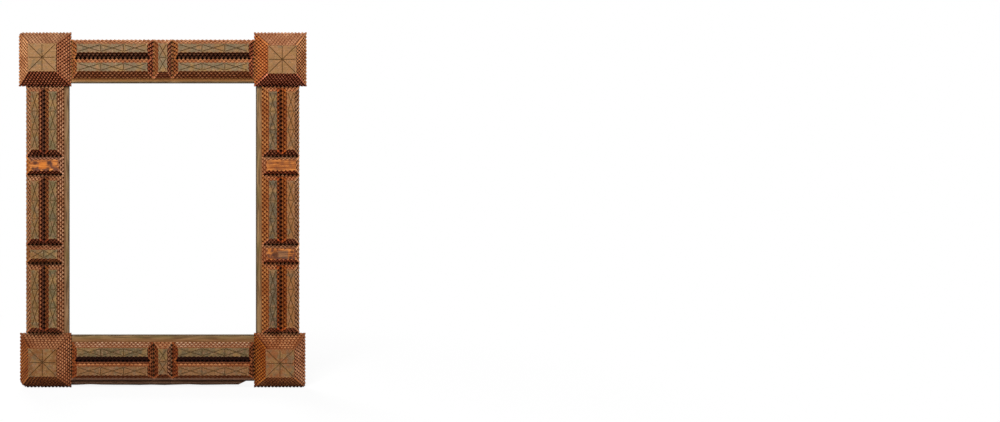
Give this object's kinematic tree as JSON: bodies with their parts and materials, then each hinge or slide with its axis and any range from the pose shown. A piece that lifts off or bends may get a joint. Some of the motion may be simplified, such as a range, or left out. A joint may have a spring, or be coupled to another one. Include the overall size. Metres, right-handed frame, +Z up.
{
  "type": "picture frame",
  "caption": "Upright wooden picture frame of lapped boards, with notch-carved stepped corner blocks, paired ribs, posts and bars on its front and a rabbet behind for a picture.",
  "frame": {"origin": "on the back face, in the middle of the top rear strip, where the frame meets the wall", "axes": "+X to the right as seen from the front, +Y out of the back into the wall, +Z up"},
  "size_m": [0.4484, 0.0408, 0.5528],
  "materials": {
    "board_wood": "worn olive-brown stain",
    "strip_wood": "bare aged wood",
    "carved_wood": "reddish varnish, worn at the edges",
    "bare_wood": "bare orange wood with glue marks",
    "green_cap": "dull greenish bronze paint",
    "star_cap": "tan varnish",
    "nail_iron": "dark rusted iron"
  },
  "bodies": {
    "root": {"bottom_left_corner_cap": "star_cap", "bottom_left_corner_steps": "carved_wood", "bottom_rail_board": "board_wood", "bottom_rail_left_bay_caps": "green_cap", "bottom_rail_left_bay_ribs": "carved_wood", "bottom_rail_left_bay_slab": "carved_wood", "bottom_rail_post_cap": "green_cap", "bottom_rail_post_steps": "carved_wood", "bottom_rail_right_bay_caps": "green_cap", "bottom_rail_right_bay_ribs": "carved_wood", "bottom_rail_right_bay_slab": "carved_wood", "bottom_rear_strip": "strip_wood", "bottom_right_corner_cap": "star_cap", "bottom_right_corner_steps": "carved_wood", "left_rear_strip": "strip_wood", "left_stile_board": "board_wood", "left_stile_lower_bar_cap": "green_cap", "left_stile_lower_bar_steps": "carved_wood", "left_stile_lower_bay_caps": "green_cap", "left_stile_lower_bay_ribs": "carved_wood", "left_stile_lower_bay_slab": "carved_wood", "left_stile_middle_bay_caps": "green_cap", "left_stile_middle_bay_ribs": "carved_wood", "left_stile_middle_bay_slab": "carved_wood", "left_stile_upper_bar_steps": "bare_wood", "left_stile_upper_bay_caps": "green_cap", "left_stile_upper_bay_ribs": "carved_wood", "left_stile_upper_bay_slab": "carved_wood", "right_rear_strip": "strip_wood", "right_stile_board": "board_wood", "right_stile_lower_bar_steps": "bare_wood", "right_stile_lower_bay_caps": "green_cap", "right_stile_lower_bay_ribs": "carved_wood", "right_stile_lower_bay_slab": "carved_wood", "right_stile_middle_bay_caps": "green_cap", "right_stile_middle_bay_ribs": "carved_wood", "right_stile_middle_bay_slab": "carved_wood", "right_stile_upper_bar_steps": "bare_wood", "right_stile_upper_bay_caps": "green_cap", "right_stile_upper_bay_ribs": "carved_wood", "right_stile_upper_bay_slab": "carved_wood", "strip_nails": "nail_iron", "top_left_corner_cap": "star_cap", "top_left_corner_steps": "carved_wood", "top_rail_board": "board_wood", "top_rail_left_bay_caps": "green_cap", "top_rail_left_bay_ribs": "carved_wood", "top_rail_left_bay_slab": "carved_wood", "top_rail_post_cap": "green_cap", "top_rail_post_steps": "carved_wood", "top_rail_right_bay_caps": "green_cap", "top_rail_right_bay_ribs": "carved_wood", "top_rail_right_bay_slab": "carved_wood", "top_rear_strip": "strip_wood", "top_right_corner_cap": "star_cap", "top_right_corner_steps": "carved_wood"}
  },
  "joints": []
}
